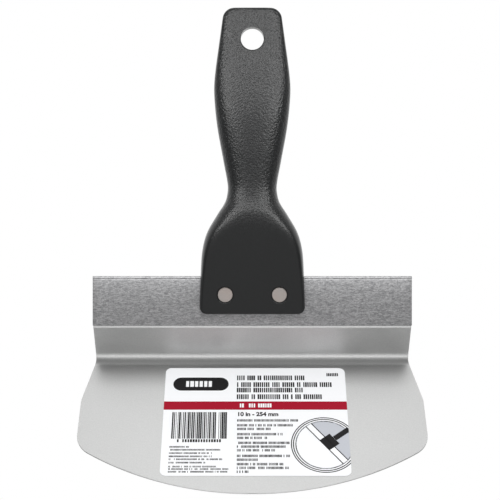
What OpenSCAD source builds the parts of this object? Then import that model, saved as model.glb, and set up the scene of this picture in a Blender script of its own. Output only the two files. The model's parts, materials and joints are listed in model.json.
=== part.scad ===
// Drywall bucket scoop: a bent steel blade, stiffened by a folded backbone strip and
// riveted into the slot of a moulded plastic handle.
// Millimetres. +Z runs up the handle, -Y is the front, and the origin is the centre of the hang hole.

/* [Blade] */
// Greatest width of the scoop blade
blade_w = 254; // [244:1:300]
// Width of the tang and of the wall
tang_w = 237.8; // [220:0.2:238]
// Distance from the crease to the tip of the blade
blade_len = 121.7; // [110:0.1:140]
// Distance from the crease to where the flared sides become parallel
flare_len = 39.5; // [32:0.5:50]
// Radius of the bend between the flared and the parallel sides
flare_r = 20; // [10:5:80]
// Radius of the round bottom edge
tip_r = 220; // [180:1:400]
// Radius of the two bottom corners
corner_r = 20; // [8:1:24]
// Thickness of the blade steel
sheet_t = 1; // [0.8:0.1:1.2]
// Length of the wall, from the backbone's lower edge to the crease
wall_len = 33; // [20:1:45]
// Angle by which the wall runs back from the backbone
wall_angle = 38.8; // [20:0.1:50]
// Angle by which the blade comes forward below the crease
blade_angle = 45; // [30:0.5:55]
// Inner radius of the bend below the backbone
bend_r = 2.5; // [1.5:0.1:4]
// Inner radius of the bend at the crease
crease_r = 7.5; // [2.5:0.5:8]

/* [Backbone] */
// Width of the folded strip
backbone_w = 238.4; // [238:0.2:242]
// Height of the folded strip
backbone_h = 36.9; // [30:0.1:44]
// Thickness of the strip's steel
leaf_t = 0.8; // [0.5:0.1:1]

/* [Handle] */
// Height of the handle's end above the hang hole's centre
end_above_hole = 23.4; // [20:0.1:30]
// Height of the whole handle
handle_h = 228.8; // [228:0.2:232]
// Radius of the two upper corners
top_corner_r = 7.5; // [4:0.5:10]
// Radius of the two lower corners
low_corner_r = 5.5; // [3:0.5:8]
// Half of the cheeks' thickness at the bottom edge
cheek_half_t = 8.2; // [7.5:0.1:9]
// Angle by which each cheek's face slopes
cheek_angle = 6; // [4:0.5:7]

/* [Hang hole] */
// Radius of the hang hole
hole_r = 8.6; // [6:0.1:9]
// Length of the hole's straight wall
hole_len = 9.2; // [8:0.1:9.4]
// Radius of the rounding at each mouth
hole_round = 1.2; // [0.5:0.1:1.4]

/* [Rivets] */
// Distance between the two rivets
rivet_gap = 40.2; // [34:0.2:46]
// Height of the rivets above the handle's bottom edge
rivet_up = 14.6; // [12:0.2:17]
// Diameter of a rivet's head
head_d = 11.1; // [10:0.1:11.6]
// Thickness of a rivet's head
head_t = 1.2; // [1:0.1:1.4]
// Outer diameter of the hollow half
barrel_d = 6.2; // [5.6:0.1:6.3]
// Diameter of the solid half's pin
pin_d = 4; // [3:0.1:4.4]

/* [Label] */
// Width of the label
label_w = 135.3; // [100:0.1:150]
// Height of the label, along the blade
label_h = 98; // [60:0.5:100]
// Distance from the crease to the label's upper edge
label_from_crease = 9.1; // [6:0.1:12]
// Distance of the label's middle from the blade's middle
label_aside = 2.3; // [-5:0.1:5]
// Radius of the label's corners
label_corner_r = 4.5; // [2:0.5:8]
// Thickness of the label
label_t = 0.2; // [0.1:0.05:0.3]

/* [Hidden] */
$fn = 64;
eps = 0.01;

handle_bottom = end_above_hole - handle_h;
rivet_z = handle_bottom + rivet_up;
fold_r = sheet_t / 2 + leaf_t;
slot_play = 0.1;
backbone_below_handle = 8.6;
backbone_bottom = handle_bottom - backbone_below_handle;
backbone_top = backbone_bottom + backbone_h;
tang_top = backbone_top - fold_r;
rivet_hole_d = 6.4;
recess_d = 12.4;
recess_depth = 2;
// Distance from the handle's middle plane to the floor of a rivet's recess.
recess_floor = cheek_half_t + rivet_up * tan(cheek_angle) - recess_depth;
// Room left between the barrel's end and the far head.
pin_gap = 1;

// The folded sheet's side view, as [y, z]. Both vertices are where the flat front faces would meet.
crease_turn = wall_angle + blade_angle;
upper_tangent = (bend_r + sheet_t) * tan(wall_angle / 2);
crease_tangent = crease_r * tan(crease_turn / 2);
wall_run = [sin(wall_angle), -cos(wall_angle)];
wall_out = [-cos(wall_angle), -sin(wall_angle)];
scoop_run = [-sin(blade_angle), -cos(blade_angle)];
upper_vertex = [-sheet_t / 2, backbone_bottom - upper_tangent];
crease_vertex = upper_vertex + wall_len * wall_run;
upper_centre = [sheet_t / 2 + bend_r, backbone_bottom];
crease_centre = crease_vertex - crease_tangent * wall_run + crease_r * wall_out;
flare_start = 2.2;

// Points along an arc, and a list's points from last to first.
function arc(centre, r, from, to, steps = 10) =
    [for (i = [0 : steps]) let (a = from + (to - from) * i / steps) centre + r * [cos(a), sin(a)]];
function backwards(list) = [for (i = [len(list) - 1 : -1 : 0]) list[i]];

// The right half of the scoop's outline as [x, distance from the crease]: the flared side, its gentle
// bend into the parallel side, the bottom corner's fillet and half of the round bottom edge.
flare_angle = atan((blade_w - tang_w) / 2 / (flare_len - flare_start));
corner_x = blade_w / 2 - corner_r;
arc_centre_s = blade_len - tip_r;
corner_s = arc_centre_s + sqrt(pow(tip_r - corner_r, 2) - pow(corner_x, 2));
corner_turn = atan2(corner_s - arc_centre_s, corner_x);
half_outline = concat(
    [[tang_w / 2, flare_start]],
    arc([blade_w / 2 - flare_r, flare_len + flare_r * tan(flare_angle / 2)], flare_r, -flare_angle, 0, 5),
    arc([corner_x, corner_s], corner_r, 0, corner_turn),
    arc([0, arc_centre_s], tip_r, corner_turn + 1, 90, 16));

// The handle's shape at heights z, from its upper end down: half its width, half its thickness
// before the cheeks are cut flat, and how square its cross-section is.
half_widths = [[23.4, 21.1], [0, 24.3], [-28, 28], [-41, 28.5], [-64, 26.4], [-91, 21.6],
               [-108, 18.5], [-114, 18.4], [-122, 20.4], [-131, 26], [-144.5, 33.7],
               [-158, 37.3], [-176, 38.5], [-205.4, 39.4]];
half_depths = [[23.4, 3.6], [0, 5.8], [-28, 9.2], [-55, 11.7], [-80, 12], [-108, 11.4],
               [-120, 12.6], [-131, 15.2], [-145, 17], [-165, 17.6], [-205.4, 17.6]];
squareness = [[23.4, 4.5], [0, 4.2], [-28, 3], [-55, 2.5], [-110, 2.4], [-131, 2.8],
              [-160, 3.6], [-205.4, 3.8]];
end_edge_r = 2;

// A smooth curve through a table's points, as a cubic between each pair of them.
function span(t, z, i = 0) = i >= len(t) - 2 || z >= t[i + 1][0] ? i : span(t, z, i + 1);
function slope(t, i) =
    let (a = max(i - 1, 0), b = min(i + 1, len(t) - 1)) (t[b][1] - t[a][1]) / (t[b][0] - t[a][0]);
function smooth(t, z) =
    let (i = span(t, z), h = t[i + 1][0] - t[i][0], u = (z - t[i][0]) / h)
    (2 * pow(u, 3) - 3 * pow(u, 2) + 1) * t[i][1] + (pow(u, 3) - 2 * pow(u, 2) + u) * h * slope(t, i)
    + (3 * pow(u, 2) - 2 * pow(u, 3)) * t[i + 1][1] + (pow(u, 3) - pow(u, 2)) * h * slope(t, i + 1);

// How far an end rounded with radius r lies inside the straight side at distance d from that end.
function rounding(d, r) = d >= r ? 0 : r - sqrt(max(0, r * r - pow(r - d, 2)));

// One ring of the handle: a rounded cross-section at height z.
ring_points = 40;
function signed_power(v, p) = sign(v) * pow(abs(v), p);
function handle_ring(z) =
    let (w = smooth(half_widths, z) - rounding(end_above_hole - z, top_corner_r)
             - rounding(z - handle_bottom, low_corner_r),
         d = smooth(half_depths, z) - rounding(end_above_hole - z, end_edge_r),
         p = 2 / smooth(squareness, z))
    [for (i = [0 : ring_points - 1]) let (a = 360 * i / ring_points)
        [w * signed_power(cos(a), p), d * signed_power(sin(a), p), z]];

// Ring heights: close together in the rounded ends and at the neck, wider apart elsewhere.
end_steps = 6;
ring_heights = concat(
    [for (i = [0 : end_steps]) end_above_hole - top_corner_r * (1 - cos(90 * i / end_steps))],
    [for (z = [10 : -6 : -98]) z],
    [for (z = [-102 : -3.5 : -162]) z],
    [for (z = [-168 : -8 : -192]) z],
    [for (i = [end_steps : -1 : 0]) handle_bottom + low_corner_r * (1 - cos(90 * i / end_steps))]);

// One face of the folded sheet, in side view: lift is its distance behind the front face.
function sheet_face(lift) =
    let (scoop = arc(crease_centre, crease_r + lift, wall_angle, -blade_angle))
    concat([[lift - sheet_t / 2, tang_top]],
           arc(upper_centre, bend_r + sheet_t - lift, 180, 180 + wall_angle),
           scoop, [scoop[len(scoop) - 1] + blade_len * scoop_run]);

module folded_sheet() {
    rotate([90, 0, 90])
        linear_extrude(blade_w + 2, center = true)
            polygon(concat(sheet_face(0), backwards(sheet_face(sheet_t))));
}

// Places its children on the scoop's front face: the crease along X and the tip at -Z.
module on_scoop() {
    translate([0, crease_vertex[0], crease_vertex[1]]) rotate([-blade_angle, 0, 0]) children();
}

// The scoop's outline, with the crease along the X axis and the tip at -Y.
module blade_outline() {
    mirror([0, 1])
        polygon(concat(half_outline,
                       [for (p = backwards(half_outline)) if (p[0] > eps) [-p[0], p[1]]]));
}

module rivet_holes(d) {
    for (side = [-1, 1])
        translate([side * rivet_gap / 2, 0, rivet_z])
            rotate([90, 0, 0]) cylinder(d = d, h = 4 * fold_r, center = true);
}

// Rolled steel sheet: the tang, the wall that runs back, and the scoop that comes forward.
module blade() {
    color("gainsboro")
    difference() {
        intersection() {
            folded_sheet();
            union() {
                translate([-tang_w / 2, -tang_w / 2, crease_vertex[1] - crease_tangent])
                    cube([tang_w, tang_w, tang_w]);
                on_scoop()
                    rotate([90, 0, 0])
                        linear_extrude(4 * sheet_t, center = true) blade_outline();
            }
        }
        rivet_holes(rivet_hole_d);
    }
}

// Galvanised strip folded over the tang's upper edge.
module backbone() {
    color("darkgray")
    difference() {
        union() {
            for (y = [-fold_r, sheet_t / 2])
                translate([-backbone_w / 2, y, backbone_bottom])
                    cube([backbone_w, leaf_t, tang_top - backbone_bottom]);
            translate([0, 0, tang_top])
                rotate([90, 0, 90])
                    rotate_extrude(angle = 180)
                        translate([sheet_t / 2, -backbone_w / 2]) square([leaf_t, backbone_w]);
        }
        rivet_holes(rivet_hole_d);
    }
}

module handle_body() {
    rings = [for (z = ring_heights) handle_ring(z)];
    last = len(rings) - 1;
    polyhedron(
        points = concat([for (r = rings) each r], [[0, 0, end_above_hole], [0, 0, handle_bottom]]),
        faces = concat(
            [for (j = [0 : last - 1], i = [0 : ring_points - 1])
                let (k = (i + 1) % ring_points, a = j * ring_points, b = a + ring_points)
                each [[a + i, a + k, b + k], [a + i, b + k, b + i]]],
            [for (i = [0 : ring_points - 1])
                [(last + 1) * ring_points, (i + 1) % ring_points, i]],
            [for (i = [0 : ring_points - 1])
                [(last + 1) * ring_points + 1, last * ring_points + i,
                 last * ring_points + (i + 1) % ring_points]]),
        convexity = 4);
}

// The hang hole with a rounded mouth on each face.
module hang_hole() {
    rotate([90, 0, 0]) {
        cylinder(r = hole_r, h = hole_len * 2, center = true);
        for (side = [0, 1]) mirror([0, 0, side])
            translate([0, 0, hole_len / 2])
                rotate_extrude()
                    difference() {
                        square([hole_r + hole_round, hole_round * 4]);
                        translate([hole_r + hole_round, 0]) circle(hole_round);
                    }
    }
}

// Moulded plastic handle, slotted at the bottom for the backbone.
module handle() {
    color([0.13, 0.13, 0.14])
    difference() {
        handle_body();
        hang_hole();
        for (side = [0, 1]) mirror([0, side, 0])
            translate([0, cheek_half_t, handle_bottom])
                rotate([-cheek_angle, 0, 0])
                    translate([-blade_w / 2, 0, -20]) cube([blade_w, 20, 120]);
        translate([-blade_w / 2, -fold_r - slot_play, handle_bottom - 1])
            cube([blade_w, 2 * (fold_r + slot_play), backbone_top + slot_play - handle_bottom + 1]);
        for (x = [-rivet_gap / 2, rivet_gap / 2]) translate([x, 0, rivet_z]) rotate([90, 0, 0]) {
            cylinder(d = rivet_hole_d, h = 40, center = true);
            for (side = [0, 1]) mirror([0, 0, side])
                translate([0, 0, recess_floor]) cylinder(d = recess_d, h = 20);
        }
    }
}

// Front half of a rivet: a flat head and a hollow barrel.
module rivet_barrel(x) {
    color("silver")
    translate([x, 0, rivet_z]) rotate([90, 0, 0]) {
        translate([0, 0, recess_floor]) cylinder(d = head_d, h = head_t);
        difference() {
            translate([0, 0, -recess_floor + pin_gap])
                cylinder(d = barrel_d, h = 2 * recess_floor - pin_gap + eps);
            translate([0, 0, -recess_floor]) cylinder(d = pin_d, h = 2 * recess_floor - pin_gap);
        }
    }
}

// Back half of a rivet: a flat head and the solid pin that is driven into the barrel.
module rivet_pin(x) {
    color("silver")
    translate([x, 0, rivet_z]) rotate([-90, 0, 0]) {
        translate([0, 0, recess_floor]) cylinder(d = head_d, h = head_t);
        translate([0, 0, -recess_floor + 2 * pin_gap])
            cylinder(d = pin_d, h = 2 * recess_floor - 2 * pin_gap + eps);
    }
}

module left_rivet_barrel() { rivet_barrel(-rivet_gap / 2); }
module right_rivet_barrel() { rivet_barrel(rivet_gap / 2); }
module left_rivet_pin() { rivet_pin(-rivet_gap / 2); }
module right_rivet_pin() { rivet_pin(rivet_gap / 2); }

// Printed paper label, stuck on the front of the blade.
module label() {
    color("white")
    on_scoop()
        translate([label_aside, 0, -label_from_crease - label_h / 2])
            rotate([90, 0, 0])
                linear_extrude(label_t) {
                    square([label_w, label_h - 2 * label_corner_r], center = true);
                    square([label_w - 2 * label_corner_r, label_h], center = true);
                    for (x = [-1, 1], y = [-1, 1])
                        translate([x * (label_w / 2 - label_corner_r), y * (label_h / 2 - label_corner_r)])
                            circle(label_corner_r);
                }
}

blade();
backbone();
handle();
left_rivet_barrel();
right_rivet_barrel();
left_rivet_pin();
right_rivet_pin();
label();
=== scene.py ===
import json
import math

import bmesh
import bpy
import numpy as np
from mathutils import Matrix, Vector

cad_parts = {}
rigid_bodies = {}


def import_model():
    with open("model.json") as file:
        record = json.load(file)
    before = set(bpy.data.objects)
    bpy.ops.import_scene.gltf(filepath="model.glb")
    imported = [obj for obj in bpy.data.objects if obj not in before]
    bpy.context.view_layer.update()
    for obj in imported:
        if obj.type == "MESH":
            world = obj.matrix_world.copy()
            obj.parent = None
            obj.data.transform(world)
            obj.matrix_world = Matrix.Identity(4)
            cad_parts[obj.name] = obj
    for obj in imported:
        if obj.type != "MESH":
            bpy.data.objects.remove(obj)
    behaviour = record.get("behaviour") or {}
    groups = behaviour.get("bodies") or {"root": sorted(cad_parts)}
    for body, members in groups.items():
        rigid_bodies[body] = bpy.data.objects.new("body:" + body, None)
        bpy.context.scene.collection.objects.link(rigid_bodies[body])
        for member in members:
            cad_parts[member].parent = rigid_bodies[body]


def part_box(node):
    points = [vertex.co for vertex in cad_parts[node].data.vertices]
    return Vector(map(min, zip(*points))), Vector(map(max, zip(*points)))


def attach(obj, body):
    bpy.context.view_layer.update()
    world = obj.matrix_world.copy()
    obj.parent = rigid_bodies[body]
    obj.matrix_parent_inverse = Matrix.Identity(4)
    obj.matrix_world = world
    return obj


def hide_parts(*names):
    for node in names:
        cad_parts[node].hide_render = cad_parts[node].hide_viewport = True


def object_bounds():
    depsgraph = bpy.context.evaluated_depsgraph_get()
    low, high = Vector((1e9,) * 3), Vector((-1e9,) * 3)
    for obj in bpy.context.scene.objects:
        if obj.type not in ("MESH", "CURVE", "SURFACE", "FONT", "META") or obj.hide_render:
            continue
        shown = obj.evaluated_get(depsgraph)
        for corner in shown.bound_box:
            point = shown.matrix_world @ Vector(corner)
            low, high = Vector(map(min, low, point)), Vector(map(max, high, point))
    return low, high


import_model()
cad_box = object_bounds()


# ---- Blade ---------------------------------------------------------------------------------
# One sheet of 1 mm cold-rolled steel, cut out flat and pressed to two bends. The tang stands
# in the backbone, the wall runs back below it, and from the crease the scoop comes forward.

MM = 0.001  # every size down to the studio is in millimetres

sheet_t, edge_r, bend_r, crease_r = 1.0, 0.25, 2.5, 7.5
wall_angle, scoop_angle = math.radians(38.8), math.radians(45)
wall_len, blade_len, flare_start, flare_len, flare_r = 33.0, 121.7, 2.2, 39.5, 20.0
tip_r, corner_r = 220.0, 20.0
half_tip_flat = 3.0  # the last row of the sheet is this short half edge at the tip
tang_rows, bend_steps, crease_steps, columns = 6, 10, 28, 72  # how finely the sheet is divided
flare_steps, corner_steps, tip_steps = 10, 24, 60

strip_low, strip_high = (Vector(corner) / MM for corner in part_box("backbone"))
blade_high = Vector(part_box("blade")[1]) / MM
scoop_half_w, tang_half_w, tang_top = blade_high.x, 118.9, blade_high.z


def linear(colour):
    """A colour given as sRGB hex, as the linear RGBA that a shader takes."""
    parts = [int(colour[i:i + 2], 16) / 255 for i in (1, 3, 5)]
    return [p / 12.92 if p <= 0.04045 else ((p + 0.055) / 1.055) ** 2.4 for p in parts] + [1.0]


def add(tree, kind, settings=(), links=()):
    """Adds a node. Settings are properties and unlinked inputs, links join outputs to inputs."""
    node = tree.nodes.new(kind)
    for name, value in dict(settings).items():
        if isinstance(name, int) or name in node.inputs:
            node.inputs[name].default_value = value
        else:
            setattr(node, name, value)
    for name, source in dict(links).items():
        tree.links.new(source, node.inputs[name])
    return node


def new_finish(name, **settings):
    """A material with its shader's own sockets set, together with its tree and that shader."""
    finish = bpy.data.materials.new(name)
    finish.use_nodes = True
    shader = finish.node_tree.nodes["Principled BSDF"]
    for socket, value in settings.items():
        shader.inputs[socket.replace("_", " ")].default_value = value
    return finish, finish.node_tree, shader


# The mix node's inputs and output by their number: two numbers, two colours, the mixed colour.
NUMBER_A, NUMBER_B, COLOUR_A, COLOUR_B, MIXED_COLOUR = 2, 3, 6, 7, 2


def dress(tree, shader, colour, gloss, bump):
    """Links a finish's mixed colour, its roughness and its bump to the shader."""
    tree.links.new(colour.outputs[MIXED_COLOUR], shader.inputs["Base Color"])
    tree.links.new(gloss.outputs[0], shader.inputs["Roughness"])
    tree.links.new(bump.outputs[0], shader.inputs["Normal"])


def new_object(name, data):
    """An object that stands in the scene."""
    thing = bpy.data.objects.new(name, data)
    bpy.context.scene.collection.objects.link(thing)
    return thing


def as_mesh(thing):
    """The plain mesh that an object and its modifiers come to."""
    depsgraph = bpy.context.evaluated_depsgraph_get()
    return bpy.data.meshes.new_from_object(thing.evaluated_get(depsgraph))


def smooth(mesh, sharp=40):
    """Shades a mesh smooth, but for edges that turn by more than sharp degrees."""
    mesh.shade_smooth()
    mesh.set_sharp_from_angle(angle=math.radians(sharp))


def face_out(mesh):
    """Turns every face of a closed mesh outwards."""
    shape = bmesh.new()
    shape.from_mesh(mesh)
    bmesh.ops.recalc_face_normals(shape, faces=shape.faces)
    shape.to_mesh(mesh)
    shape.free()


def new_piece(name, points, faces, finish, sharp=40):
    """A piece from points in millimetres."""
    mesh = bpy.data.meshes.new(name)
    mesh.from_pydata([Vector(p) * MM for p in points], [], [list(f) for f in faces])
    mesh.materials.append(finish)
    smooth(mesh, sharp)
    return new_object(name, mesh)


def turned(profile, steps=64, centre=(0, 0, 0), lean=()):
    """A closed solid turned about Y from (radius, y) pairs. Rings named in lean follow a face that
    slopes by that much per millimetre of height."""
    points, faces = [], []
    for row, (radius, y) in enumerate(profile):
        for i in range(steps):
            a = 2 * math.pi * i / steps
            x, z = radius * math.cos(a), radius * math.sin(a)
            slope = dict(lean).get(row, 0)
            points.append((centre[0] + x, centre[1] + y + slope * z, centre[2] + z))
    last = len(profile) - 1
    for row in range(last):
        for i in range(steps):
            k, a, b = (i + 1) % steps, row * steps, (row + 1) * steps
            faces.append((a + i, a + k, b + k, b + i))
    faces += [range(steps - 1, -1, -1), range(last * steps, (last + 1) * steps)]
    return points, faces


def joined(*solids):
    """Several (points, faces) solids as one."""
    points, faces = [], []
    for some_points, some_faces in solids:
        faces += [[len(points) + i for i in face] for face in some_faces]
        points += list(some_points)
    return points, faces


def cut(piece, solid, sharp=40):
    """Takes a solid out of a piece."""
    tool = new_piece("cutter", *solid, piece.data.materials[0])
    face_out(tool.data)
    modifier = piece.modifiers.new("cut", "BOOLEAN")
    modifier.operation, modifier.solver, modifier.object = "DIFFERENCE", "MANIFOLD", tool
    mesh = as_mesh(piece)
    piece.modifiers.remove(modifier)
    piece.data = mesh
    smooth(mesh, sharp)
    bpy.data.objects.remove(tool)


def arc(centre, r, start, end, steps):
    """Points along an arc, each with its bearing from the centre."""
    angles = [start + (end - start) * i / steps for i in range(steps + 1)]
    return [(centre + r * Vector((math.cos(a), math.sin(a))), a) for a in angles]


crease_turn = wall_angle + scoop_angle
upper_tangent = (bend_r + sheet_t) * math.tan(wall_angle / 2)
crease_tangent = crease_r * math.tan(crease_turn / 2)
wall_run = Vector((math.sin(wall_angle), -math.cos(wall_angle)))
scoop_run = Vector((-math.sin(scoop_angle), -math.cos(scoop_angle)))
scoop_through = Vector((math.cos(scoop_angle), -math.sin(scoop_angle)))
crease = Vector((-sheet_t / 2, strip_low.z - upper_tangent)) + wall_len * wall_run
upper_centre = Vector((sheet_t / 2 + bend_r, strip_low.z))
crease_centre = (crease - crease_tangent * wall_run
                 - crease_r * Vector((math.cos(wall_angle), math.sin(wall_angle))))

# Each station of the folded sheet is a point (y, z) on its front face and the direction
# through the sheet to its back face.
tang_drop = strip_low.z - tang_top
stations = [(Vector((-sheet_t / 2, tang_top + tang_drop * i / tang_rows)), Vector((1, 0)))
            for i in range(tang_rows)]
stations += [(p, -Vector((math.cos(a), math.sin(a)))) for p, a in
             arc(upper_centre, bend_r + sheet_t, math.pi, math.pi + wall_angle, bend_steps)]
stations += [(p, Vector((math.cos(a), math.sin(a)))) for p, a in
             arc(crease_centre, crease_r, wall_angle, -scoop_angle, crease_steps)]

# The scoop's outline as (half width, distance from the crease) with the direction out of it:
# the flared side, its gentle bend, the bottom corner and half of the round bottom edge.
flare = math.atan((scoop_half_w - tang_half_w) / (flare_len - flare_start))


def flared(s):
    """Half the sheet's width at a distance from the crease, above the flare's end."""
    return tang_half_w + max(0.0, s - flare_start) * math.tan(flare)


corner_x, arc_s = scoop_half_w - corner_r, blade_len - tip_r
corner_s = arc_s + math.sqrt((tip_r - corner_r) ** 2 - corner_x ** 2)
corner_turn = math.atan2(corner_s - arc_s, corner_x)
outline = [(Vector((flared(crease_tangent), crease_tangent)), -flare)]
outline += arc(Vector((scoop_half_w - flare_r, flare_len + flare_r * math.tan(flare / 2))),
               flare_r, -flare, 0, flare_steps)
outline += arc(Vector((corner_x, corner_s)), corner_r, 0, corner_turn, corner_steps)
outline += arc(Vector((0, arc_s)), tip_r, corner_turn,
               math.pi / 2 - half_tip_flat / tip_r, tip_steps)[1:]

# Rows across the sheet: the inner and outer half widths, and where each lies.
rows = []
for point, through in stations[:-1]:
    half_w = flared((point - crease).dot(scoop_run))
    rows.append((half_w - edge_r, point, half_w, point, through))
for point, a in outline:
    inner = point - edge_r * Vector((math.cos(a), math.sin(a)))
    rows.append((inner.x, crease + inner.y * scoop_run, point.x, crease + point.y * scoop_run,
                 scoop_through))

points, faces = [], []
for inner_w, inner_at, outer_w, outer_at, through in rows:
    for lift in (0, sheet_t):
        for j in range(columns + 1):
            spot = inner_at + lift * through
            points.append((inner_w * (2 * j / columns - 1), spot.x, spot.y))
    for side in (-1, 1):
        for lift in (edge_r, sheet_t - edge_r):
            spot = outer_at + lift * through
            points.append((side * outer_w, spot.x, spot.y))
row_points = 2 * (columns + 1) + 4
back, rim = columns + 1, 2 * (columns + 1)
for r in range(len(rows) - 1):
    a, b = r * row_points, (r + 1) * row_points
    for j in range(columns):
        faces.append((a + j, b + j, b + j + 1, a + j + 1))
        faces.append((a + back + j, a + back + j + 1, b + back + j + 1, b + back + j))
    for front, k in ((0, 0), (columns, 2)):
        chain = [front, rim + k, rim + k + 1, back + front]
        for p, q in zip(chain, chain[1:]):
            face = (a + p, a + q, b + q, b + p)
            faces.append(face if k == 0 else face[::-1])
for r, turn in ((0, 1), (len(rows) - 1, -1)):
    a = r * row_points
    for j in range(columns):
        faces.append((a + j, a + j + 1, a + back + j + 1, a + back + j)[::turn])
    for front, k in ((0, 0), (columns, 2)):
        end = (a + front, a + back + front, a + rim + k + 1, a + rim + k)
        faces.append(end[::turn if k == 0 else -turn])

# Cold-rolled steel, temper rolled and wiped clean: a bright satin that blurs what it mirrors,
# with a grain along the rolling direction and faint cloudy handling marks. The real grain is
# too fine to show, so it is drawn 11 mm long and 1 mm wide, with specks of the same width.
cold_rolled_steel, tree, shader = new_finish("cold_rolled_steel", Metallic=1.0)
place = add(tree, "ShaderNodeTexCoord")
along = add(tree, "ShaderNodeMapping", {"Scale": (90, 900, 900)},
            {"Vector": place.outputs["Object"]})
grain = add(tree, "ShaderNodeTexNoise", {"Scale": 1.0, "Detail": 3.0, "Roughness": 0.6},
            {"Vector": along.outputs[0]})
speckle = add(tree, "ShaderNodeTexNoise", {"Scale": 1 / (0.9 * MM), "Detail": 2.0},
              {"Vector": place.outputs["Object"]})
clouds = add(tree, "ShaderNodeTexNoise", {"Scale": 1 / (22 * MM), "Detail": 4.0},
             {"Vector": place.outputs["Object"]})
tone = add(tree, "ShaderNodeMix", {"data_type": "FLOAT", "Factor": 0.35},
           {NUMBER_A: speckle.outputs["Fac"], NUMBER_B: clouds.outputs["Fac"]})
colour = add(tree, "ShaderNodeMix", {
    "data_type": "RGBA", COLOUR_A: linear("#B6B7B7"), COLOUR_B: linear("#D5D5D4")},
    {"Factor": tone.outputs[0]})
gloss = add(tree, "ShaderNodeMapRange", {"To Min": 0.41, "To Max": 0.48},
            {"Value": clouds.outputs["Fac"]})
bump = add(tree, "ShaderNodeBump", {"Strength": 0.35, "Distance": 0.008 * MM},
           {"Height": grain.outputs["Fac"]})
dress(tree, shader, colour, gloss, bump)

rivet_x, rivet_up, rivet_hole_r, hole_reach = 20.1, 14.6, 3.2, 4
rivet_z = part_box("handle")[0][2] / MM + rivet_up
rivet_holes = joined(*(
    turned([(rivet_hole_r, -hole_reach), (rivet_hole_r, hole_reach)], 48,
           (side * rivet_x, 0, rivet_z)) for side in (-1, 1)))

blade = new_piece("bent_blade", points, faces, cold_rolled_steel)
cut(blade, rivet_holes)
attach(blade, "root")
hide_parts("blade")


# ---- Backbone ------------------------------------------------------------------------------
# A strip of 0.8 mm galvanised steel, folded double over the tang's upper edge to stiffen the
# blade. The fold is a round nose, with a shallow groove pressed along its foot on both faces.

leaf_t, corner, end_spread, groove, groove_half, groove_below_top = 0.8, 0.15, 0.15, 0.12, 0.45, 2.3
fold_z, fold_r = tang_top, sheet_t / 2 + leaf_t
groove_z = strip_high.z - groove_below_top


def quarter_turn(steps):
    """The angles of a quarter circle in equal steps."""
    return [math.pi / 2 * i / steps for i in range(steps + 1)]


outer = [(fold_r - corner, strip_low.z), (fold_r, strip_low.z + corner)]
for i in range(-6, 7):
    depth = groove * math.cos(math.pi / 2 * i / 6) ** 2
    outer.append((fold_r - depth, groove_z + groove_half * i / 6))
outer += [(fold_r * math.cos(a), fold_z + fold_r * math.sin(a)) for a in quarter_turn(12)]
inner = [(sheet_t / 2, strip_low.z)]
inner += [(sheet_t / 2 * math.cos(a), fold_z + sheet_t / 2 * math.sin(a)) for a in quarter_turn(8)]
section = [(-y, z) for y, z in outer] + outer[-2::-1]
section += inner + [(-y, z) for y, z in inner[-2::-1]]


def spread(section, amount):
    """The section grown by an amount on every side, for the strip's end faces."""
    made = []
    for i, (y, z) in enumerate(section):
        before, after = Vector(section[i - 1]), Vector(section[(i + 1) % len(section)])
        run = (after - before).normalized()
        made.append((y - amount * run.y, z + amount * run.x))
    return made


half_strip, inset = strip_high.x, 10
ends = [(-half_strip, spread(section, end_spread)), (-half_strip + end_spread, section)]
ends += [(x, section) for x in np.linspace(-half_strip + inset, half_strip - inset, 24)]
ends += [(half_strip - end_spread, section), (half_strip, spread(section, end_spread))]
count = len(section)
points = [(x, y, z) for x, ring in ends for y, z in ring]
faces = [(r * count + i, r * count + (i + 1) % count, (r + 1) * count + (i + 1) % count,
          (r + 1) * count + i) for r in range(len(ends) - 1) for i in range(count)]
faces += [range(count - 1, -1, -1), range((len(ends) - 1) * count, len(ends) * count)]

# Hot-dip galvanised strip: a soft grey zinc skin with a close mottle of crystals a millimetre
# or so across, each of its own brightness, and no mirror image.
galvanised_steel, tree, shader = new_finish("galvanised_steel", Metallic=1.0)
place = add(tree, "ShaderNodeTexCoord")
warp = add(tree, "ShaderNodeMapping", {"Scale": (0.5, 1.0, 1.2)},
           {"Vector": place.outputs["Object"]})
mottle = add(tree, "ShaderNodeTexNoise", {
    "Scale": 1 / (0.6 * MM), "Detail": 3.0, "Roughness": 0.65}, {"Vector": warp.outputs[0]})
crystals = add(tree, "ShaderNodeTexVoronoi", {"Scale": 1 / (0.9 * MM)},
               {"Vector": warp.outputs[0]})
grey = add(tree, "ShaderNodeSeparateColor", {}, {"Color": crystals.outputs["Color"]})
blend = add(tree, "ShaderNodeMix", {"data_type": "FLOAT", "Factor": 0.25},
            {NUMBER_A: mottle.outputs["Fac"], NUMBER_B: grey.outputs[0]})
contrast = add(tree, "ShaderNodeMapRange", {"From Min": 0.32, "From Max": 0.68},
               {"Value": blend.outputs[0]})
colour = add(tree, "ShaderNodeMix", {
    "data_type": "RGBA", COLOUR_A: linear("#98989A"), COLOUR_B: linear("#D6D6D7")},
    {"Factor": contrast.outputs[0]})
gloss = add(tree, "ShaderNodeMapRange", {"To Min": 0.54, "To Max": 0.64},
            {"Value": contrast.outputs[0]})
bump = add(tree, "ShaderNodeBump", {"Strength": 0.3, "Distance": 0.02 * MM},
           {"Height": blend.outputs[0]})
dress(tree, shader, colour, gloss, bump)

backbone = new_piece("folded_backbone", points, faces, galvanised_steel, sharp=50)
face_out(backbone.data)
cut(backbone, rivet_holes, sharp=50)
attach(backbone, "root")
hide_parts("backbone")


# ---- Handle --------------------------------------------------------------------------------
# One black polypropylene moulding, full in the palm, slim at the neck and spread into a flat
# shoulder. The backbone stands in its slot, and the hang hole has a soft rounded mouth.

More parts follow.
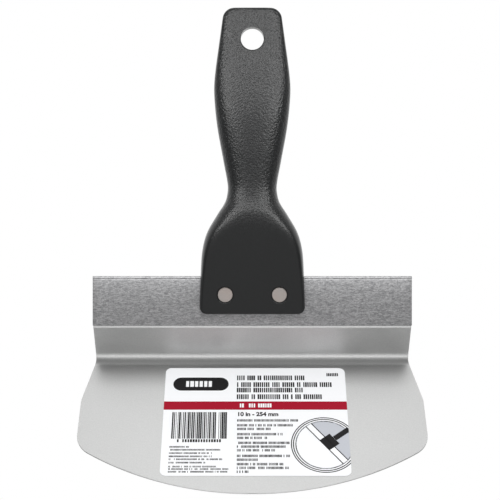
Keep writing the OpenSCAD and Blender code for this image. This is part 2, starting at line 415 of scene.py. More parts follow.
grip_low, grip_high = (Vector(corner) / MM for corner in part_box("handle"))
top_corner_r, low_corner_r, end_edge_r, low_edge_r = 7.5, 5.5, 2.0, 1.8
cheek_half_t, cheek_slope, cheek_softness = 8.2, math.tan(math.radians(6)), 2.2

# Heights from the hang hole with the half width, the half thickness and the squareness there.
half_widths = [(23.4, 21.1), (0, 24.3), (-28, 28), (-41, 28.5), (-64, 26.4), (-91, 21.6),
               (-108, 18.5), (-114, 18.4), (-122, 20.4), (-131, 26), (-144.5, 33.7),
               (-158, 37.3), (-176, 38.5), (-205.4, 39.4)]
half_depths = [(23.4, 3.6), (0, 5.8), (-28, 9.2), (-55, 11.7), (-80, 12), (-108, 11.4),
               (-120, 12.6), (-131, 15.2), (-145, 17), (-165, 17.6), (-205.4, 17.6)]
squareness = [(23.4, 4.5), (0, 4.2), (-28, 3), (-55, 2.5), (-110, 2.4), (-131, 2.8),
              (-160, 3.6), (-205.4, 3.8)]


def through_table(table, z):
    """A smooth curve through a table's points, at every height in z."""
    at, value = np.array(table, float)[::-1].T
    slopes = np.empty(len(at))
    slopes[1:-1] = (value[2:] - value[:-2]) / (at[2:] - at[:-2])
    slopes[0], slopes[-1] = ((value[1] - value[0]) / (at[1] - at[0]),
                             (value[-1] - value[-2]) / (at[-1] - at[-2]))
    i = np.clip(np.searchsorted(at, z) - 1, 0, len(at) - 2)
    h = at[i + 1] - at[i]
    u = (z - at[i]) / h
    return ((2 * u ** 3 - 3 * u ** 2 + 1) * value[i] + (u ** 3 - 2 * u ** 2 + u) * h * slopes[i]
            + (3 * u ** 2 - 2 * u ** 3) * value[i + 1] + (u ** 3 - u ** 2) * h * slopes[i + 1])


def rounding(distance, r):
    """How far an end rounded with radius r draws in at a distance from that end."""
    inside = np.clip(r - distance, 0, r)
    return r - np.sqrt(r * r - inside ** 2)


around, grip_rows, end_steps = 184, 232, 14
halvings, least_share = 30, 0.2  # how the softened cheeks are found
quarter = np.pi / 2 * np.arange(end_steps + 1) / end_steps
heights = np.concatenate([
    grip_high.z - top_corner_r * (1 - np.cos(quarter)),
    np.linspace(grip_high.z - top_corner_r, grip_low.z + low_corner_r, grip_rows)[1:-1],
    grip_low.z + low_corner_r * (1 - np.cos(quarter[::-1]))])
z = heights[:, None]
w = (through_table(half_widths, z) - rounding(grip_high.z - z, top_corner_r)
     - rounding(z - grip_low.z, low_corner_r))
d = through_table(half_depths, z) - rounding(grip_high.z - z, end_edge_r)
n = through_table(squareness, z)
angle = 2 * np.pi * np.arange(around)[None, :] / around
c, s = np.cos(angle), np.sin(angle)
body_x = w * np.sign(c) * np.abs(c) ** (2 / n)
body_y = d * np.sign(s) * np.abs(s) ** (2 / n)

# The cheeks are flat and meet the rounded body in a soft edge, so each point is drawn in
# towards the middle until it lies on the softened meeting of the two.
out_x, out_y = np.abs(body_x / w) ** (n - 1) / w, np.abs(body_y / d) ** (n - 1) / d
reach = (np.abs(body_x) * out_x + np.abs(body_y) * out_y) / np.hypot(out_x, out_y)
cheek = cheek_half_t + (z - grip_low.z) * cheek_slope - rounding(z - grip_low.z, low_edge_r)
low, high = np.full(body_x.shape, least_share), np.ones(body_x.shape)
for _ in range(halvings):
    share = (low + high) / 2
    from_body, from_cheek = (share - 1) * reach, share * np.abs(body_y) - cheek
    near = np.clip(1 - np.abs(from_body - from_cheek) / cheek_softness, 0, 1)
    outside = np.maximum(from_body, from_cheek) + cheek_softness / 4 * near ** 2 > 0
    high, low = np.where(outside, share, high), np.where(outside, low, share)
rings = np.stack([body_x * low, body_y * low, np.broadcast_to(z, body_x.shape)], axis=-1)

points = [tuple(p) for p in rings.reshape(-1, 3)]
last = len(heights) - 1
faces = [(r * around + i, (r + 1) * around + i, (r + 1) * around + (i + 1) % around,
          r * around + (i + 1) % around) for r in range(last) for i in range(around)]
points += [(0, 0, grip_high.z), (0, 0, grip_low.z)]
for i in range(around):
    k = (i + 1) % around
    faces.append((len(points) - 2, i, k))
    faces.append((len(points) - 1, last * around + k, last * around + i))

# Black polypropylene, injection moulded in a spark-eroded mould: its fine leather-like pebble
# breaks up the light on the grip and fades out on the flat cheeks. On the grip the colour also
# carries painted light and shade, lighter on the pebble's tops and darker in its hollows. The
# pebble is drawn a little coarser than real, so that it shows.
black_polypropylene, tree, shader = new_finish("black_polypropylene", IOR=1.52, Roughness=0.3)
place = add(tree, "ShaderNodeTexCoord")
pebble = add(tree, "ShaderNodeTexVoronoi", {
    "feature": "SMOOTH_F1", "Scale": 1 / (1.6 * MM), "Smoothness": 0.6},
    {"Vector": place.outputs["Object"]})
fine = add(tree, "ShaderNodeTexNoise", {"Scale": 1 / (1.0 * MM), "Detail": 2.0},
           {"Vector": place.outputs["Object"]})
height = add(tree, "ShaderNodeMix", {"data_type": "FLOAT", "Factor": 0.5},
             {NUMBER_A: pebble.outputs["Distance"], NUMBER_B: fine.outputs["Fac"]})
where = add(tree, "ShaderNodeSeparateXYZ", {}, {"Vector": place.outputs["Object"]})
above_cheek = add(tree, "ShaderNodeMapRange",
                  {"From Min": -148 * MM, "From Max": -128 * MM, "To Min": 0.12, "To Max": 1.0},
                  {"Value": where.outputs["Z"]})
bump = add(tree, "ShaderNodeBump", {"Distance": 0.36 * MM},
           {"Height": height.outputs[0], "Strength": above_cheek.outputs[0]})
wear = add(tree, "ShaderNodeTexNoise", {"Scale": 1 / (14 * MM), "Detail": 5.0},
           {"Vector": place.outputs["Object"]})
gloss = add(tree, "ShaderNodeMapRange", {"To Min": 0.26, "To Max": 0.34},
            {"Value": wear.outputs["Fac"]})
# Painted light and shade: on the grip the pebble's tops are coloured lighter and its hollows
# darker, and the cheeks keep an even mid tone.
painted_pebble_light = add(tree, "ShaderNodeMapRange", {"From Min": 0.3, "From Max": 0.6},
            {"Value": height.outputs[0]})
shade = add(tree, "ShaderNodeMix", {"data_type": "FLOAT", NUMBER_A: 0.5},
            {"Factor": above_cheek.outputs[0], NUMBER_B: painted_pebble_light.outputs[0]})
colour = add(tree, "ShaderNodeMix", {
    "data_type": "RGBA", COLOUR_A: linear("#030303"), COLOUR_B: linear("#181A1B")},
    {"Factor": shade.outputs[0]})
dress(tree, shader, colour, gloss, bump)

# The cutter for the hang hole: a straight wall with a rounded mouth at each face, and beyond
# the faces a shade wider than the mouth.
hole_r, hole_half, hole_round, spare, beyond = 8.6, 4.6, 1.2, 0.2, 20
mouth = [(hole_r + hole_round * (1 - math.cos(a)), hole_half + hole_round * math.sin(a))
         for a in quarter_turn(8)]
mouth += [(hole_r + hole_round + spare, hole_half + hole_round + 1),
          (hole_r + hole_round + spare, beyond)]
hang_hole = turned([(r, -y) for r, y in mouth[::-1]] + mouth, 96)

# The cutter for each rivet: its hole, and on both faces a recess whose lip follows the cheek.
recess_r, recess_depth, lip = 6.2, 2.0, 0.45
cheek_at_rivet = cheek_half_t + (rivet_z - grip_low.z) * cheek_slope
recess = [(rivet_hole_r, 0.0), (rivet_hole_r, cheek_at_rivet - recess_depth),
          (recess_r, cheek_at_rivet - recess_depth)]
recess += [(recess_r + lip * (1 - math.cos(a)), cheek_at_rivet - lip + lip * math.sin(a))
           for a in quarter_turn(5)]
recess.append((recess_r + lip, beyond))
middle_ring, lip_rings = len(recess) - 1, range(3, len(recess) - 1)
lean = {middle_ring + i: cheek_slope for i in lip_rings}
lean.update({middle_ring - i: -cheek_slope for i in lip_rings})
spindle = [(r, -y) for r, y in recess[:0:-1]] + recess
recesses = [turned(spindle, 72, (side * rivet_x, 0, rivet_z), lean) for side in (-1, 1)]

# The cutter for the backbone's slot: a plain box that is open below.
slot_play, slot_x, slot_bottom = 0.1, 60, grip_low.z - 5
slot_half, slot_top = fold_r + slot_play, strip_high.z + slot_play
corners = [(x, y, h) for x in (-slot_x, slot_x) for y in (-slot_half, slot_half)
           for h in (slot_bottom, slot_top)]
slot = (corners, [(0, 1, 3, 2), (4, 6, 7, 5), (0, 4, 5, 1), (2, 3, 7, 6), (0, 2, 6, 4),
                  (1, 5, 7, 3)])

handle = new_piece("moulded_handle", points, faces, black_polypropylene)
cut(handle, joined(hang_hole, *recesses))
cut(handle, slot)
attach(handle, "root")
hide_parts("handle")


# ---- Rivets --------------------------------------------------------------------------------
# Two compression rivets clamp the handle on the backbone. Each is a hollow half from the front
# and a solid pin from the back, turned from rod, with flat heads sunk in the recesses.

def new_tree(name, inputs):
    """A tree of geometry nodes with a geometry input and output, and the named inputs."""
    tree = bpy.data.node_groups.new(name, "GeometryNodeTree")
    tree.interface.new_socket("Geometry", in_out="INPUT", socket_type="NodeSocketGeometry")
    for socket, kind in inputs.items():
        tree.interface.new_socket(socket, in_out="INPUT", socket_type="NodeSocket" + kind)
    tree.interface.new_socket("Geometry", in_out="OUTPUT", socket_type="NodeSocketGeometry")
    return tree, add(tree, "NodeGroupInput"), add(tree, "NodeGroupOutput")


def made_by(tree, inputs, source=None):
    """The plain mesh that a tree makes with these inputs."""
    maker = new_object("maker", source or bpy.data.meshes.new("empty"))
    modifier = maker.modifiers.new("made", "NODES")
    modifier.node_group = tree
    for socket in tree.interface.items_tree:
        if socket.in_out == "INPUT" and socket.name in inputs:
            modifier[socket.identifier] = inputs[socket.name]
    mesh = as_mesh(maker)
    maker.modifiers.remove(modifier)
    bpy.data.objects.remove(maker)
    return mesh


# Turns a line of (radius, 0, height) points about Z and stands the result on its place.
turning, given, made = new_tree("turned_rivet", {
    "Steps": "Int", "Place": "Vector", "Facing": "Vector", "Metal": "Material"})
size = add(turning, "GeometryNodeAttributeDomainSize", {}, {"Geometry": given.outputs["Geometry"]})
seam = add(turning, "ShaderNodeMath", {"operation": "ADD", 1: 1.0}, {0: given.outputs["Steps"]})
skin = add(turning, "GeometryNodeMeshGrid", {}, {
    "Vertices X": size.outputs["Point Count"], "Vertices Y": seam.outputs[0]})
number = add(turning, "GeometryNodeInputIndex")
ring = add(turning, "ShaderNodeMath", {"operation": "DIVIDE"}, {
    0: number.outputs[0], 1: seam.outputs[0]})
ring_number = add(turning, "ShaderNodeMath", {"operation": "FLOOR"}, {0: ring.outputs[0]})
step = add(turning, "ShaderNodeMath", {"operation": "MODULO"}, {
    0: number.outputs[0], 1: seam.outputs[0]})
turn = add(turning, "ShaderNodeMath", {"operation": "DIVIDE"}, {
    0: step.outputs[0], 1: given.outputs["Steps"]})
bearing = add(turning, "ShaderNodeMath", {"operation": "MULTIPLY", 1: 2 * math.pi}, {
    0: turn.outputs[0]})
spot = add(turning, "GeometryNodeInputPosition")
profile = add(turning, "GeometryNodeSampleIndex", {"data_type": "FLOAT_VECTOR"}, {
    "Geometry": given.outputs["Geometry"], "Value": spot.outputs[0],
    "Index": ring_number.outputs[0]})
swung = add(turning, "ShaderNodeVectorRotate", {"rotation_type": "Z_AXIS"}, {
    "Vector": profile.outputs[0], "Angle": bearing.outputs[0]})
shaped = add(turning, "GeometryNodeSetPosition", {}, {
    "Geometry": skin.outputs["Mesh"], "Position": swung.outputs[0]})
closed = add(turning, "GeometryNodeMergeByDistance", {"Distance": 1e-4}, {
    "Geometry": shaped.outputs[0]})
stood = add(turning, "GeometryNodeTransform", {}, {
    "Geometry": closed.outputs[0], "Translation": given.outputs["Place"],
    "Rotation": given.outputs["Facing"]})
real = add(turning, "GeometryNodeRealizeInstances", {}, {"Geometry": stood.outputs[0]})
clad = add(turning, "GeometryNodeSetMaterial", {}, {
    "Geometry": real.outputs[0], "Material": given.outputs["Metal"]})
turning.links.new(clad.outputs[0], made.inputs[0])

# Satin nickel-plated steel, barrel tumbled: soft and even, with a slight warm and cool mottle.
# Its specks are drawn much coarser than real, so that they show.
tumbled_nickel, tree, shader = new_finish("tumbled_nickel", Metallic=1.0)
place = add(tree, "ShaderNodeTexCoord")
stain = add(tree, "ShaderNodeTexNoise", {"Scale": 1 / (6 * MM), "Detail": 3.0},
            {"Vector": place.outputs["Object"]})
speck = add(tree, "ShaderNodeTexNoise", {"Scale": 1 / (0.9 * MM), "Detail": 2.0},
            {"Vector": place.outputs["Object"]})
colour = add(tree, "ShaderNodeMix", {
    "data_type": "RGBA", COLOUR_A: linear("#BBAEA7"), COLOUR_B: linear("#B1AEAC")},
    {"Factor": stain.outputs["Fac"]})
gloss = add(tree, "ShaderNodeMapRange", {"To Min": 0.42, "To Max": 0.6},
            {"Value": speck.outputs["Fac"]})
bump = add(tree, "ShaderNodeBump", {"Strength": 0.3, "Distance": 0.01 * MM},
           {"Height": speck.outputs["Fac"]})
dress(tree, shader, colour, gloss, bump)

head_r, head_t, head_edge = 5.55, 1.2, 0.35
barrel_r, pin_r, pin_gap, pin_taper = 3.1, 2.0, 1.0, 0.3
floor_y = cheek_at_rivet - recess_depth
rivet_steps = 72


def rounded_head(top):
    """The head's profile from its middle over the rounded rim to its underside."""
    inner_r, foot = head_r - head_edge, top + head_t - head_edge
    rim = [(inner_r + head_edge * math.sin(a), foot + head_edge * math.cos(a))
           for a in quarter_turn(6)]
    return [(0, top + head_t), (head_r * 0.5, top + head_t)] + rim + [(head_r, top)]


barrel = rounded_head(floor_y) + [
    (barrel_r, floor_y), (barrel_r, pin_gap - floor_y), (pin_r, pin_gap - floor_y),
    (pin_r, floor_y - pin_gap), (0, floor_y - pin_gap)]
pin = rounded_head(floor_y) + [
    (pin_r, floor_y), (pin_r, pin_taper + 2 * pin_gap - floor_y),
    (pin_r - pin_taper, 2 * pin_gap - floor_y), (0, 2 * pin_gap - floor_y)]
for side_name, side in (("left", -1), ("right", 1)):
    for half_name, half, facing in (("barrel", barrel, 90), ("pin", pin, -90)):
        line = bpy.data.meshes.new("profile")
        line.from_pydata([(r, 0, h) for r, h in half],
                         [(i, i + 1) for i in range(len(half) - 1)], [])
        mesh = made_by(turning, {
            "Steps": rivet_steps, "Place": (side * rivet_x, 0, rivet_z),
            "Facing": (math.radians(facing), 0, 0), "Metal": tumbled_nickel}, line)
        mesh.transform(Matrix.Scale(MM, 4))
        face_out(mesh)
        smooth(mesh)
        rivet = new_object(f"{side_name}_rivet_{half_name}_turned", mesh)
        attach(rivet, "root")
        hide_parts(f"{side_name}_rivet_{half_name}")


# ---- Label ---------------------------------------------------------------------------------
# Coated paper, printed in black, grey and crimson and stuck on the scoop's front. Its print is
# generic: plain strokes stand for the wording, and the mark and the picture are plain shapes.

label_w, label_h, label_t, label_corner = 135.3, 98.0, 0.2, 4.5
label_aside, label_from_crease = 2.3, 9.1
ink_t = 0.02

# From the label's own place (x to the right, y up from its upper edge, z out of it) to the scoop.
on_label = (Matrix.Translation((label_aside * MM, crease.x * MM, crease.y * MM))
            @ Matrix.Rotation(math.pi / 2 - scoop_angle, 4, "X")
            @ Matrix.Translation((0, -label_from_crease * MM, 0)) @ Matrix.Scale(MM, 4))


def plate(outline, low, high):
    """A closed flat plate from an outline that runs anticlockwise."""
    count = len(outline)
    points = [(x, y, z) for z in (low, high) for x, y in outline]
    faces = [range(count - 1, -1, -1), range(count, 2 * count)]
    faces += [(i, (i + 1) % count, count + (i + 1) % count, count + i) for i in range(count)]
    return points, faces


def round_plate(x, y, inner, outer, low, high, steps=96):
    """A closed flat ring, or a disc where inner is nought."""
    circle = [(math.cos(a), math.sin(a))
              for a in (2 * math.pi * i / steps for i in range(steps))]
    if inner == 0:
        return plate([(x + outer * c, y + outer * s) for c, s in circle], low, high)
    loops = [(inner, low), (outer, low), (outer, high), (inner, high)]
    points = [(x + r * c, y + r * s, z) for r, z in loops for c, s in circle]
    faces = [(b * steps + i, b * steps + (i + 1) % steps, a * steps + (i + 1) % steps,
              a * steps + i) for a, b in ((0, 1), (1, 2), (2, 3), (3, 0)) for i in range(steps)]
    return points, faces


def rounded_box(x0, x1, y0, y1, r, steps=8):
    """The outline of a rectangle with round corners."""
    return [(cx + r * math.cos(a), cy + r * math.sin(a))
            for cx, cy, start in ((x1 - r, y1 - r, 0), (x0 + r, y1 - r, 1), (x0 + r, y0 + r, 2),
                                  (x1 - r, y0 + r, 3))
            for a in (math.pi / 2 * (start + i / steps) for i in range(steps + 1))]


def printed(name, solids, finish, meshes=()):
    """One piece from solids and meshes on the label, trimmed at the label's right edge."""
    shape = bmesh.new()
    for solid in solids:
        part = bpy.data.meshes.new("part")
        part.from_pydata(solid[0], [], [list(f) for f in solid[1]])
        shape.from_mesh(part)
    for mesh in meshes:
        shape.from_mesh(mesh)
    everything = shape.verts[:] + shape.edges[:] + shape.faces[:]
    bmesh.ops.bisect_plane(shape, geom=everything, plane_co=(label_w / 2, 0, 0),
                           plane_no=(1, 0, 0), clear_outer=True)
    bmesh.ops.holes_fill(shape, edges=[e for e in shape.edges if e.is_boundary])
    bmesh.ops.recalc_face_normals(shape, faces=shape.faces)
    mesh = bpy.data.meshes.new(name)
    shape.to_mesh(mesh)
    shape.free()
    mesh.transform(on_label)
    mesh.materials.clear()
    mesh.materials.append(finish)
    for face in mesh.polygons:
        face.material_index = 0
    piece = new_object(name, mesh)
    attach(piece, "root")
    return piece


# One row of print: strokes of random widths along a line, with a stroke left out here and there
# as the space between words.
stroke_row, given, made = new_tree("row_of_strokes", {
    "Length": "Float", "Height": "Float", "Pitch": "Float", "Thinnest": "Float",
    "Thickest": "Float", "Gaps": "Float", "Place": "Vector", "Seed": "Int", "Ink": "Material"})
strokes = add(stroke_row, "ShaderNodeMath", {"operation": "DIVIDE"}, {
    0: given.outputs["Length"], 1: given.outputs["Pitch"]})
stride = add(stroke_row, "ShaderNodeCombineXYZ", {}, {"X": given.outputs["Pitch"]})
line = add(stroke_row, "GeometryNodeMeshLine", {}, {
    "Count": strokes.outputs[0], "Start Location": given.outputs["Place"],
    "Offset": stride.outputs[0]})
spaces = add(stroke_row, "FunctionNodeRandomValue", {"data_type": "BOOLEAN"}, {
    "Probability": given.outputs["Gaps"], "Seed": given.outputs["Seed"]})
words = add(stroke_row, "GeometryNodeDeleteGeometry", {"domain": "POINT"}, {
    "Geometry": line.outputs["Mesh"], "Selection": spaces.outputs[3]})
widths = add(stroke_row, "FunctionNodeRandomValue", {"data_type": "FLOAT"}, {
    NUMBER_A: given.outputs["Thinnest"], NUMBER_B: given.outputs["Thickest"],
    "Seed": given.outputs["Seed"]})
stroke_size = add(stroke_row, "ShaderNodeCombineXYZ", {"Z": ink_t}, {
    "X": widths.outputs[1], "Y": given.outputs["Height"]})
stroke = add(stroke_row, "GeometryNodeMeshCube")
placed = add(stroke_row, "GeometryNodeInstanceOnPoints", {}, {
    "Points": words.outputs[0], "Instance": stroke.outputs["Mesh"],
    "Scale": stroke_size.outputs[0]})
real = add(stroke_row, "GeometryNodeRealizeInstances", {}, {"Geometry": placed.outputs[0]})
inked = add(stroke_row, "GeometryNodeSetMaterial", {}, {
    "Geometry": real.outputs[0], "Material": given.outputs["Ink"]})
stroke_row.links.new(inked.outputs[0], made.inputs[0])


def print_finish(name, colour, roughness):
    """Ink or paper under the label's clear varnish, with the paper's faint tooth drawn coarse."""
    finish, tree, shader = new_finish(name, Base_Color=linear(colour), Roughness=roughness,
                                      Specular_IOR_Level=0.2)
    place = add(tree, "ShaderNodeTexCoord")
    tooth = add(tree, "ShaderNodeTexNoise", {"Scale": 1 / (0.8 * MM), "Detail": 2.0},
                {"Vector": place.outputs["Object"]})
    bump = add(tree, "ShaderNodeBump", {"Strength": 0.15, "Distance": 0.01 * MM},
               {"Height": tooth.outputs["Fac"]})
    tree.links.new(bump.outputs[0], shader.inputs["Normal"])
    return finish


# Coated paper is bright and smooth, and the inks take the same soft shine from its varnish.
varnish_roughness = 0.4
coated_paper = print_finish("coated_paper", "#F4F5F7", varnish_roughness)
black_ink = print_finish("black_ink", "#19181A", varnish_roughness)
grey_ink = print_finish("grey_ink", "#BFC2C9", varnish_roughness)
crimson_ink = print_finish("crimson_ink", "#A10024", varnish_roughness)
white_ink = print_finish("white_ink", "#F4F5F7", varnish_roughness)

paper = printed("label_paper_sheet", [
    plate(rounded_box(-label_w / 2, label_w / 2, -label_h, 0, label_corner), 0, label_t)],
    coated_paper)
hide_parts("label")


def print_rows(rows, ink, level):
    """Meshes of print rows given as (left, right, middle from the top, height, pitch, seed)."""
    return [made_by(stroke_row, {
        "Length": right - left, "Height": height, "Pitch": pitch, "Thinnest": 0.55 * pitch,
        "Thickest": 0.85 * pitch, "Gaps": 0.13,
        "Place": (left + pitch / 2, -middle, level), "Seed": seed, "Ink": ink})
            for left, right, middle, height, pitch, seed in rows]


# The ink is laid in coats, one on another: coat[k] is the top of the first k of them.
coat = [label_t + k * ink_t for k in range(5)]
in_first, in_fourth = coat[0] + ink_t / 2, coat[3] + ink_t / 2

# The crimson band across the label.
band_top, band_foot = -31.9, -39.6
printed("label_band", [plate([(-label_w / 2, band_foot), (label_w / 2, band_foot),
                              (label_w / 2, band_top), (-label_w / 2, band_top)],
                             coat[0], coat[1])], crimson_ink)

# Rows that stand for the title and the number, the text, the small print and the code's digits.
title_rows = [(-14, 38.5, 9.5, 4.5, 1.55, 1), (-14, 59.5, 16, 4.5, 1.55, 2),
              (-14, 36, 21.2, 4.3, 1.55, 3), (-14, 51, 27.5, 4.5, 1.55, 4),
              (53.5, 64, 6.4, 3, 1.3, 5)]
text_left, text_h, text_pitch, text_seed = -13.5, 2.1, 0.95, 20
text_ends = [(31.5, 49.4), (27.5, 53.8), (11.5, 57.1), (21, 61.8), (8.5, 65.1), (24.5, 69.5),
             (22.5, 72.8), (14.5, 76), (25, 80.9), (2, 84.2), (20.5, 88), (24, 91.2), (-4.5, 94.5)]
text_rows = [(text_left, right, middle, text_h, text_pitch, text_seed + i)
             for i, (right, middle) in enumerate(text_ends)]
small_left, small_h, small_pitch, small_seed = -62, 1.4, 0.75, 50
small_ends = [(-47.5, 73), (-25, 75.6), (-30, 78.5), (-31, 81.3), (-23.5, 83.8), (-35.5, 86.7),
              (-27.5, 90.1), (-19, 92.2), (-20, 94.5)]
small_rows = [(small_left, right, middle, small_h, small_pitch, small_seed + i)
              for i, (right, middle) in enumerate(small_ends)]
digit_row = [(-57, -24, 67.6, 2.6, 1.9, 80)]
bars = made_by(stroke_row, {
    "Length": 41.0, "Height": 24.0, "Pitch": 1.3, "Thinnest": 0.3, "Thickest": 1.3,
    "Gaps": 0.05, "Place": (-60.5, -53.8, in_first), "Seed": 7, "Ink": black_ink})

# The measure printed under the band, in plain generic figures.
figures = bpy.data.curves.new("measure", "FONT")
figures.body, figures.size = "10 in - 254 mm", 4.9
figures.extrude, figures.offset = ink_t / 2, 0.22
measure = new_object("measure", figures)
measure_mesh = as_mesh(measure)
bpy.data.objects.remove(measure)
measure_mesh.transform(Matrix.Translation((text_left, -45.3, in_first)))
welded = bmesh.new()
welded.from_mesh(measure_mesh)
bmesh.ops.remove_doubles(welded, verts=welded.verts, dist=1e-4)
welded.to_mesh(measure_mesh)
welded.free()


def turned_box(x, y, half_x, half_y, degrees):
    """The outline of a rectangle turned about its middle."""
    c, s = math.cos(math.radians(degrees)), math.sin(math.radians(degrees))
    return [(x + u * c - v * s, y + u * s + v * c) for u, v in (
        (-half_x, -half_y), (half_x, -half_y), (half_x, half_y), (-half_x, half_y))]


def half_moon(x, y, r, start, end, steps=40):
    """The outline of a circle's part between two bearings."""
    turns = [math.radians(start + (end - start) * i / steps) for i in range(steps + 1)]
    return [(x + r * math.cos(a), y + r * math.sin(a)) for a in turns]


# The plain picture of a round bucket seen from above, with a scoop lying in it: the grey
# inside, the white compound and blade, and the black rims, edges, grip and shaft.
bucket_x, bucket_y, bucket_r, rim_in, rim_at = 49.8, -71, 24.4, 1.5, 3.2
blade_x, blade_y, scoop_turn, line_w = bucket_x + 1.5, bucket_y + 1.2, -52, 0.75
compound_r, compound_from, compound_to = bucket_r - 4, 128, 308
printed("label_bucket_inside", [
    round_plate(bucket_x, bucket_y, 0, bucket_r - rim_at, coat[0], coat[1])], grey_ink)
printed("label_white_print", [
    plate(half_moon(bucket_x, bucket_y, compound_r, compound_from, compound_to), coat[1], coat[2]),
    plate(turned_box(blade_x, blade_y, 20.5, 2.4, scoop_turn), coat[2], coat[3])],
    white_ink, print_rows([(text_left, 13.5, 35.7, 3.6, 1.7, 90),
                           (-52.5, -29, 15.4, 5.5, 3.4, 91)], white_ink, in_fourth))
rings = [round_plate(bucket_x, bucket_y, r - line_w, r, coat[0], coat[1])
         for r in (bucket_r, bucket_r - rim_in, bucket_r - rim_at)]
black_boxes = [plate(turned_box(*box), coat[3], coat[4]) for box in (
    (blade_x + 1.9, blade_y + 1.5, 20.6, line_w / 2, scoop_turn),
    (blade_x - 1.9, blade_y - 1.5, 20.6, line_w / 2, scoop_turn),
    (bucket_x + 3.6, bucket_y + 2.4, 5.6, 4.6, scoop_turn),
    (bucket_x + 12.5, bucket_y + 9.4, 6.6, 2.1, 38))]
mark = plate(rounded_box(-61.5, -20, -21.7, -9.2, 6.2), coat[0], coat[1])
black_rows = title_rows + text_rows + small_rows + digit_row
printed("label_black_print", [*rings, *black_boxes, mark], black_ink,
        [*print_rows(black_rows, black_ink, in_first), bars, measure_mesh])


# ---- Studio --------------------------------------------------------------------------------
# A pale floor well below the tool, a white surround, and soft boxes in front, above, at both
# sides and low down, each flagged on to the pieces that need it. The camera looks straight at
# the tool from a little over 0.9 m.

pale_floor, tree, shader = new_finish("pale_floor", Base_Color=linear("#DADADA"), Roughness=0.9)
floor_r, fade_from, floor_drop = 1.1, 0.6, 0.25  # in metres, as everything is in this section
place = add(tree, "ShaderNodeTexCoord")
from_middle = add(tree, "ShaderNodeVectorMath", {"operation": "LENGTH"}, {
    0: place.outputs["Object"]})
soft_edge = add(tree, "ShaderNodeMapRange", {
    "From Min": fade_from, "From Max": floor_r, "To Min": 1.0, "To Max": 0.0,
    "interpolation_type": "SMOOTHSTEP"}, {"Value": from_middle.outputs["Value"]})
tree.links.new(soft_edge.outputs[0], shader.inputs["Alpha"])
disc = bmesh.new()
bmesh.ops.create_circle(disc, cap_ends=True, segments=96, radius=floor_r)
floor_mesh = bpy.data.meshes.new("floor")
disc.to_mesh(floor_mesh)
disc.free()
floor_mesh.materials.append(pale_floor)
floor = new_object("floor", floor_mesh)
floor.location = (0, 0, cad_box[0].z - floor_drop)

# How bright the surround is above, in front, behind and below, as the tool sees it. The camera
# itself sees it plain white.
top_level, front_level, back_level, low_level = 1.0, 0.35, 1.7, 0.4
surround = bpy.data.worlds.new("surround")
bpy.context.scene.world = surround
surround.use_nodes = True
tree = surround.node_tree
tree.nodes.clear()
place = add(tree, "ShaderNodeTexCoord")
towards = add(tree, "ShaderNodeSeparateXYZ", {}, {"Vector": place.outputs["Generated"]})
level_round = add(tree, "ShaderNodeMapRange", {
    "From Min": -0.5, "From Max": 0.4, "To Min": front_level, "To Max": back_level,
    "interpolation_type": "SMOOTHSTEP"}, {"Value": towards.outputs["Y"]})
upwards = add(tree, "ShaderNodeMapRange", {
    "From Min": 0.55, "From Max": 0.9, "interpolation_type": "SMOOTHSTEP"},
    {"Value": towards.outputs["Z"]})
downwards = add(tree, "ShaderNodeMapRange", {
    "From Min": -0.05, "From Max": -0.5, "interpolation_type": "SMOOTHSTEP"},
    {"Value": towards.outputs["Z"]})
with_top = add(tree, "ShaderNodeMix", {"data_type": "FLOAT", NUMBER_B: top_level},
               {"Factor": upwards.outputs[0], NUMBER_A: level_round.outputs[0]})
with_low = add(tree, "ShaderNodeMix", {"data_type": "FLOAT", NUMBER_B: low_level},
               {"Factor": downwards.outputs[0], NUMBER_A: with_top.outputs[0]})
glow = add(tree, "ShaderNodeBackground", {}, {"Strength": with_low.outputs[0]})
backdrop = add(tree, "ShaderNodeBackground", {"Color": (1, 1, 1, 1), "Strength": 1.0})
ray = add(tree, "ShaderNodeLightPath")
either = add(tree, "ShaderNodeMixShader", {}, {
    0: ray.outputs["Is Camera Ray"], 1: glow.outputs[0], 2: backdrop.outputs[0]})
add(tree, "ShaderNodeOutputWorld", {}, {"Surface": either.outputs[0]})

middle = (cad_box[0] + cad_box[1]) / 2


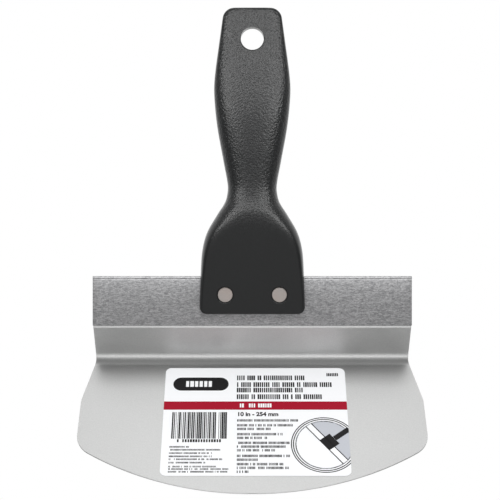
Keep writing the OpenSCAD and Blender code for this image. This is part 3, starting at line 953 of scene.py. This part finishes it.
def soft_box(name, bearing, elevation, distance, width, height, level, lit=()):
    """A soft box aimed at the tool: its bearing from the front to the right and its elevation in
    degrees, its size in metres, how bright its face is, and the pieces it is flagged on to."""
    lamp = bpy.data.lights.new(name, "AREA")
    lamp.shape, lamp.size, lamp.size_y = "RECTANGLE", width, height
    lamp.energy = level * math.pi * width * height
    b, e = math.radians(bearing), math.radians(elevation)
    out = Vector((math.sin(b) * math.cos(e), -math.cos(b) * math.cos(e), math.sin(e)))
    box = new_object(name, lamp)
    box.location = middle + distance * out
    box.rotation_mode = "QUATERNION"
    box.rotation_quaternion = out.to_track_quat("Z", "Y")
    box.visible_camera = False
    if lit:
        flagged = bpy.data.collections.new(name + "_lights")
        for piece in lit:
            flagged.objects.link(piece)
        box.light_linking.receiver_collection = flagged


# The black handle, the steel and the white label each need their own light, so most boxes are
# flagged on to some of the pieces only.
label_and_rivets = [piece for piece in bpy.data.objects if piece.name.startswith("label_")
                    or "_rivet_" in piece.name]
for side in (-1, 1):
    soft_box("upper_box", side * 16, 43, 0.4, 0.12, 0.12, 5.6, [handle])
    soft_box("side_box", side * 36, 28, 0.4, 0.12, 0.12, 7.0, [handle])
    soft_box("neck_box", side * 16, 21, 0.31, 0.1, 0.1, 1.3, [handle])
    soft_box("label_box", side * 30, 40, 1.3, 0.4, 0.4, 12.0, label_and_rivets)
soft_box("front_box", 0, -8, 1.5, 2.2, 1.8, 0.27, [handle])
soft_box("rivet_box", 0, -12, 1.3, 0.8, 0.4, 1.4, label_and_rivets)
soft_box("strip_box", 0, 37, 1.3, 0.7, 0.3, 17.0, [backbone])
soft_box("low_box", 0, -47, 0.36, 0.5, 0.1, 2.1, [blade])
soft_box("high_box", 0, 66, 1.2, 0.8, 0.3, 1.0, [blade])
soft_box("top_box", 0, 80, 1.2, 0.8, 0.4, 1.3, [blade])

focal_length, sensor_w, camera_at = 90.19, 36, (-0.0017, -0.937, -0.1576)
lens = bpy.data.cameras.new("camera")
lens.lens, lens.sensor_width, lens.sensor_fit = focal_length, sensor_w, "HORIZONTAL"
camera = new_object("camera", lens)
camera.location = camera_at
camera.rotation_euler = (math.pi / 2, 0, 0)
bpy.context.scene.camera = camera
bpy.context.scene.view_settings.view_transform = "Standard"

bpy.context.view_layer.update()
